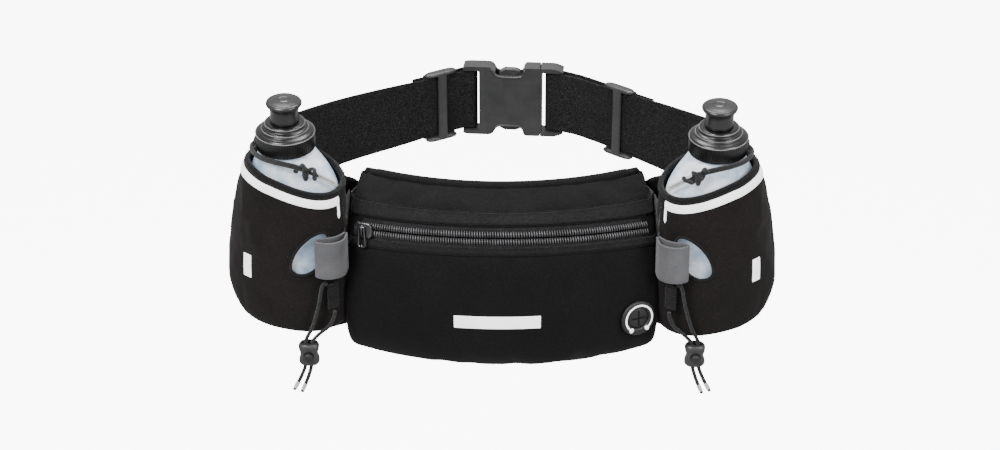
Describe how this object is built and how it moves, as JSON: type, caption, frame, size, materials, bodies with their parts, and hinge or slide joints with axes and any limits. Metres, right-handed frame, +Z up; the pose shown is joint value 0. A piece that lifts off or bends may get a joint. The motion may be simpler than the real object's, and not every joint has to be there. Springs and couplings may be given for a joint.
{
  "type": "hydration waist pack",
  "caption": "Running belt with a curved zipped front pouch, a soft holster and squeeze bottle at each side, race-bib cords, and an elastic strap closed by a side-release buckle.",
  "frame": {"origin": "middle of the waist ring at the height of the strap centre line", "axes": "+X to the right seen from the front of the pouch, -Y towards the pouch at the front, +Z up"},
  "size_m": [0.3286, 0.2368, 0.1845],
  "materials": {
    "neoprene_black": "closed-cell foam rubber with a knitted face, charcoal",
    "holster_fabric": "stretch knit over foam, warm black",
    "webbing_black": "woven elastic band, black with a fine fleck",
    "zip_black": "black coil zip and tape",
    "zip_metal": "plated slider and pull, satin",
    "reflective_white": "pale reflective film and piping",
    "elastic_grey": "flat grey elastic",
    "buckle_plastic": "moulded acetal, fine satin finish",
    "bottle_plastic": "translucent milky polyethylene with a blue tint",
    "cap_plastic": "glossy black moulded plastic",
    "rubber_black": "soft moulded rubber",
    "cord_black": "braided cord, black"
  },
  "bodies": {
    "pouch": {"back_panel": "neoprene_black", "pouch_upper_panel": "neoprene_black", "pouch_lower_panel": "neoprene_black", "pouch_end_left": "neoprene_black", "pouch_end_right": "neoprene_black", "placket_upper": "neoprene_black", "placket_lower": "neoprene_black", "zip_tape_upper": "zip_black", "zip_tape_lower": "zip_black", "zip_coil_upper": "zip_black", "zip_coil_lower": "zip_black", "port_ring": "rubber_black", "port_membrane": "rubber_black", "reflective_strip": "reflective_white", "side_binding_left": "webbing_black", "wing_left": "neoprene_black", "holster_left": "holster_fabric", "holster_binding_left": "webbing_black", "reflective_piping_left": "reflective_white", "reflective_tab_left": "reflective_white", "gel_loop_left": "elastic_grey", "retainer_loop_left": "cord_black", "bib_anchor_left": "webbing_black", "strap_anchor_left": "webbing_black", "side_binding_right": "webbing_black", "wing_right": "neoprene_black", "holster_right": "holster_fabric", "holster_binding_right": "webbing_black", "reflective_piping_right": "reflective_white", "reflective_tab_right": "reflective_white", "gel_loop_right": "elastic_grey", "retainer_loop_right": "cord_black", "bib_anchor_right": "webbing_black", "strap_anchor_right": "webbing_black"},
    "zip_slider": {"zip_slider": "zip_metal"},
    "zip_puller": {"zip_puller": "zip_metal"},
    "bottle_left": {"bottle_left": "bottle_plastic"},
    "cap_left": {"bottle_cap_left": "cap_plastic"},
    "nozzle_left": {"nozzle_left": "cap_plastic"},
    "bottle_right": {"bottle_right": "bottle_plastic"},
    "cap_right": {"bottle_cap_right": "cap_plastic"},
    "nozzle_right": {"nozzle_right": "cap_plastic"},
    "strap_left": {"strap_left": "webbing_black", "buckle_female": "buckle_plastic"},
    "strap_right": {"strap_right": "webbing_black", "buckle_male": "buckle_plastic"},
    "prong_upper": {"buckle_prong_upper": "buckle_plastic"},
    "prong_lower": {"buckle_prong_lower": "buckle_plastic"},
    "slider_left": {"strap_slider_left": "buckle_plastic"},
    "slider_right": {"strap_slider_right": "buckle_plastic"},
    "bib_cord_left": {"bib_cord_left_a": "cord_black", "bib_cord_left_b": "cord_black"},
    "cord_lock_left": {"cord_lock_left": "buckle_plastic"},
    "lock_button_left": {"cord_lock_button_left": "rubber_black"},
    "bib_cord_right": {"bib_cord_right_a": "cord_black", "bib_cord_right_b": "cord_black"},
    "cord_lock_right": {"cord_lock_right": "buckle_plastic"},
    "lock_button_right": {"cord_lock_button_right": "rubber_black"}
  },
  "joints": [
    {"name": "zip_run", "type": "hinge", "parent": "pouch", "child": "zip_slider", "pos_m": [0, 0.069, -0.02041], "axis": [0, 0.1426, 0.9898], "range_deg": [0, 48]},
    {"name": "puller_flip", "type": "hinge", "parent": "zip_slider", "child": "zip_puller", "pos_m": [-0.08237, -0.1072, 0.0066], "axis": [-0.9078, 0.4152, -0.0598], "range_deg": [0, 140]},
    {"name": "bottle_left_lift", "type": "slide", "parent": "pouch", "child": "bottle_left", "axis": [0.012, -0.0896, 0.9959], "range_m": [0, 0.12], "deforming": ["retainer_loop_left", "holster_left", "holster_binding_left", "reflective_piping_left"]},
    {"name": "cap_left_turn", "type": "hinge", "parent": "bottle_left", "child": "cap_left", "pos_m": [-0.12528, -0.0963, 0.05495], "axis": [0.012, -0.0896, 0.9959], "continuous": true},
    {"name": "nozzle_left_pull", "type": "slide", "parent": "cap_left", "child": "nozzle_left", "axis": [0.012, -0.0896, 0.9959], "range_m": [0, 0.006]},
    {"name": "bottle_right_lift", "type": "slide", "parent": "pouch", "child": "bottle_right", "axis": [-0.012, -0.0896, 0.9959], "range_m": [0, 0.12], "deforming": ["retainer_loop_right", "holster_right", "holster_binding_right", "reflective_piping_right"]},
    {"name": "cap_right_turn", "type": "hinge", "parent": "bottle_right", "child": "cap_right", "pos_m": [0.12528, -0.0963, 0.05195], "axis": [-0.012, -0.0896, 0.9959], "continuous": true},
    {"name": "nozzle_right_pull", "type": "slide", "parent": "cap_right", "child": "nozzle_right", "axis": [-0.012, -0.0896, 0.9959], "range_m": [0, 0.006]},
    {"name": "strap_right_swing", "type": "hinge", "parent": "pouch", "child": "strap_right", "pos_m": [0.1516, -0.0308, 0], "axis": [0, 0, 1], "range_deg": [-30, 0], "deforming": ["buckle_prong_upper", "buckle_prong_lower"]},
    {"name": "strap_left_swing", "type": "hinge", "parent": "pouch", "child": "strap_left", "pos_m": [-0.1516, -0.0308, 0], "axis": [0, 0, 1], "range_deg": [0, 25], "deforming": ["buckle_prong_upper", "buckle_prong_lower"]},
    {"name": "prong_upper_squeeze", "type": "hinge", "parent": "strap_right", "child": "prong_upper", "pos_m": [0.01956, 0.09708, 0.0145], "axis": [0.0872, 0.9962, 0], "range_deg": [-6, 0], "stiffness_Nm_per_rad": 0.4},
    {"name": "prong_lower_squeeze", "type": "hinge", "parent": "strap_right", "child": "prong_lower", "pos_m": [0.01956, 0.09708, -0.0145], "axis": [0.0872, 0.9962, 0], "range_deg": [0, 6], "stiffness_Nm_per_rad": 0.4},
    {"name": "slider_left_adjust", "type": "slide", "parent": "strap_left", "child": "slider_left", "axis": [0.8425, 0.5388, 0], "range_m": [-0.008, 0.004]},
    {"name": "slider_right_adjust", "type": "slide", "parent": "strap_right", "child": "slider_right", "axis": [0.7478, -0.6639, 0], "range_m": [-0.008, 0.002]},
    {"name": "bib_cord_left_swing", "type": "hinge", "parent": "pouch", "child": "bib_cord_left", "pos_m": [-0.1032, -0.1194, -0.025], "axis": [0, 1, 0], "range_deg": [-10, 10], "deforming": ["bib_cord_left_a", "bib_cord_left_b"]},
    {"name": "cord_lock_left_slide", "type": "slide", "parent": "bib_cord_left", "child": "cord_lock_left", "axis": [0, 0, 1], "range_m": [-0.005, 0.004], "deforming": ["bib_cord_left_a", "bib_cord_left_b"]},
    {"name": "lock_button_left_press", "type": "slide", "parent": "cord_lock_left", "child": "lock_button_left", "axis": [0, 1, 0], "range_m": [0, 0.0014], "stiffness_N_per_m": 300},
    {"name": "bib_cord_right_swing", "type": "hinge", "parent": "pouch", "child": "bib_cord_right", "pos_m": [0.1032, -0.1194, -0.026], "axis": [0, 1, 0], "range_deg": [-10, 10], "deforming": ["bib_cord_right_a", "bib_cord_right_b"]},
    {"name": "cord_lock_right_slide", "type": "slide", "parent": "bib_cord_right", "child": "cord_lock_right", "axis": [0, 0, 1], "range_m": [-0.005, 0.004], "deforming": ["bib_cord_right_a", "bib_cord_right_b"]},
    {"name": "lock_button_right_press", "type": "slide", "parent": "cord_lock_right", "child": "lock_button_right", "axis": [0, 1, 0], "range_m": [0, 0.0014], "stiffness_N_per_m": 300}
  ],
  "couplings": [
    {"joint": "strap_left_swing", "follows": "strap_right_swing", "ratio": -0.8215},
    {"joint": "prong_lower_squeeze", "follows": "prong_upper_squeeze", "ratio": -1}
  ]
}
